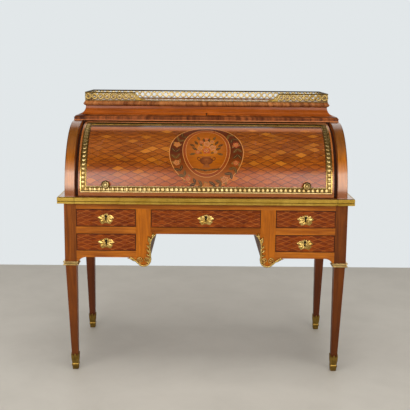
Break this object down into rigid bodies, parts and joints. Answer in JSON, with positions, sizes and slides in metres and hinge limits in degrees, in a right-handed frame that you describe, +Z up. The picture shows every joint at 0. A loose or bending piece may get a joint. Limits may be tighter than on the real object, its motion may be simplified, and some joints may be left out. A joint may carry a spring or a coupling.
{
  "type": "cylinder desk",
  "caption": "Veneered cylinder desk on tapered legs, with a turning quarter-round fall, pull-out writing slide, frieze drawers, kneehole and pierced gilt gallery.",
  "frame": {"origin": "on the floor under the middle of the desk's box", "axes": "+X to the sitter's right hand, +Y to the back, +Z up"},
  "size_m": [1.24, 0.648, 1.187],
  "materials": {
    "veneer": "polished tulipwood and kingwood veneer",
    "parquetry": "polished lozenge parquetry",
    "carcass_wood": "plain oak, waxed",
    "inner_wood": "polished veneer",
    "gilt_bronze": "gilt, worn",
    "brass_edge": "polished, worn",
    "leather": "tooled, worn",
    "steel": "darkened"
  },
  "bodies": {
    "carcass": {"leg_front_left": "veneer", "leg_front_right": "veneer", "leg_rear_left": "veneer", "leg_rear_right": "veneer", "sabots": "gilt_bronze", "leg_collars": "gilt_bronze", "side_panel_left": "veneer", "side_panel_right": "veneer", "back_panel": "carcass_wood", "front_top_rail": "veneer", "mid_rails": "veneer", "bottom_rails": "veneer", "kneehole_rail": "veneer", "kneehole_stiles": "veneer", "kneehole_panels": "carcass_wood", "dust_boards": "carcass_wood", "slide_bearers": "carcass_wood", "scroll_mounts": "gilt_bronze", "table_frame": "veneer", "table_edge": "brass_edge", "cheek_left": "veneer", "cheek_right": "veneer", "upper_back": "carcass_wood", "cornice": "veneer", "top_board": "veneer", "gallery": "gilt_bronze", "nest_case": "inner_wood", "pivot_pins": "steel", "cylinder_lock": "steel"},
    "cylinder": {"cylinder_shell": "parquetry", "cylinder_border": "gilt_bronze", "cylinder_knobs": "gilt_bronze", "cylinder_arms": "carcass_wood"},
    "writing_slide": {"slide_board": "veneer", "slide_leather": "leather", "slide_edge": "brass_edge"},
    "upper_left_drawer": {"upper_left_drawer_front": "parquetry", "upper_left_drawer_box": "carcass_wood", "upper_left_drawer_escutcheon": "gilt_bronze", "upper_left_drawer_lock": "steel"},
    "lower_left_drawer": {"lower_left_drawer_front": "parquetry", "lower_left_drawer_box": "carcass_wood", "lower_left_drawer_escutcheon": "gilt_bronze", "lower_left_drawer_lock": "steel"},
    "centre_drawer": {"centre_drawer_front": "parquetry", "centre_drawer_box": "carcass_wood", "centre_drawer_escutcheon": "gilt_bronze", "centre_drawer_lock": "steel"},
    "upper_right_drawer": {"upper_right_drawer_front": "parquetry", "upper_right_drawer_box": "carcass_wood", "upper_right_drawer_escutcheon": "gilt_bronze", "upper_right_drawer_lock": "steel"},
    "lower_right_drawer": {"lower_right_drawer_front": "parquetry", "lower_right_drawer_box": "carcass_wood", "lower_right_drawer_escutcheon": "gilt_bronze", "lower_right_drawer_lock": "steel"},
    "inner_drawer_left": {"inner_drawer_left_front": "inner_wood", "inner_drawer_left_box": "carcass_wood"},
    "inner_drawer_right": {"inner_drawer_right_front": "inner_wood", "inner_drawer_right_box": "carcass_wood"}
  },
  "joints": [
    {"name": "cylinder_hinge", "type": "hinge", "parent": "carcass", "child": "cylinder", "pos_m": [0, -0.021, 0.78], "axis": [-1, 0, 0], "range_deg": [0, 78]},
    {"name": "writing_slide_pull", "type": "slide", "parent": "carcass", "child": "writing_slide", "axis": [0, -1, 0], "range_m": [0, 0.24]},
    {"name": "upper_left_drawer_pull", "type": "slide", "parent": "carcass", "child": "upper_left_drawer", "axis": [0, -1, 0], "range_m": [0, 0.3]},
    {"name": "lower_left_drawer_pull", "type": "slide", "parent": "carcass", "child": "lower_left_drawer", "axis": [0, -1, 0], "range_m": [0, 0.3]},
    {"name": "centre_drawer_pull", "type": "slide", "parent": "carcass", "child": "centre_drawer", "axis": [0, -1, 0], "range_m": [0, 0.3]},
    {"name": "upper_right_drawer_pull", "type": "slide", "parent": "carcass", "child": "upper_right_drawer", "axis": [0, -1, 0], "range_m": [0, 0.3]},
    {"name": "lower_right_drawer_pull", "type": "slide", "parent": "carcass", "child": "lower_right_drawer", "axis": [0, -1, 0], "range_m": [0, 0.3]},
    {"name": "inner_drawer_left_pull", "type": "slide", "parent": "carcass", "child": "inner_drawer_left", "axis": [0, -1, 0], "range_m": [0, 0.1]},
    {"name": "inner_drawer_right_pull", "type": "slide", "parent": "carcass", "child": "inner_drawer_right", "axis": [0, -1, 0], "range_m": [0, 0.1]}
  ]
}
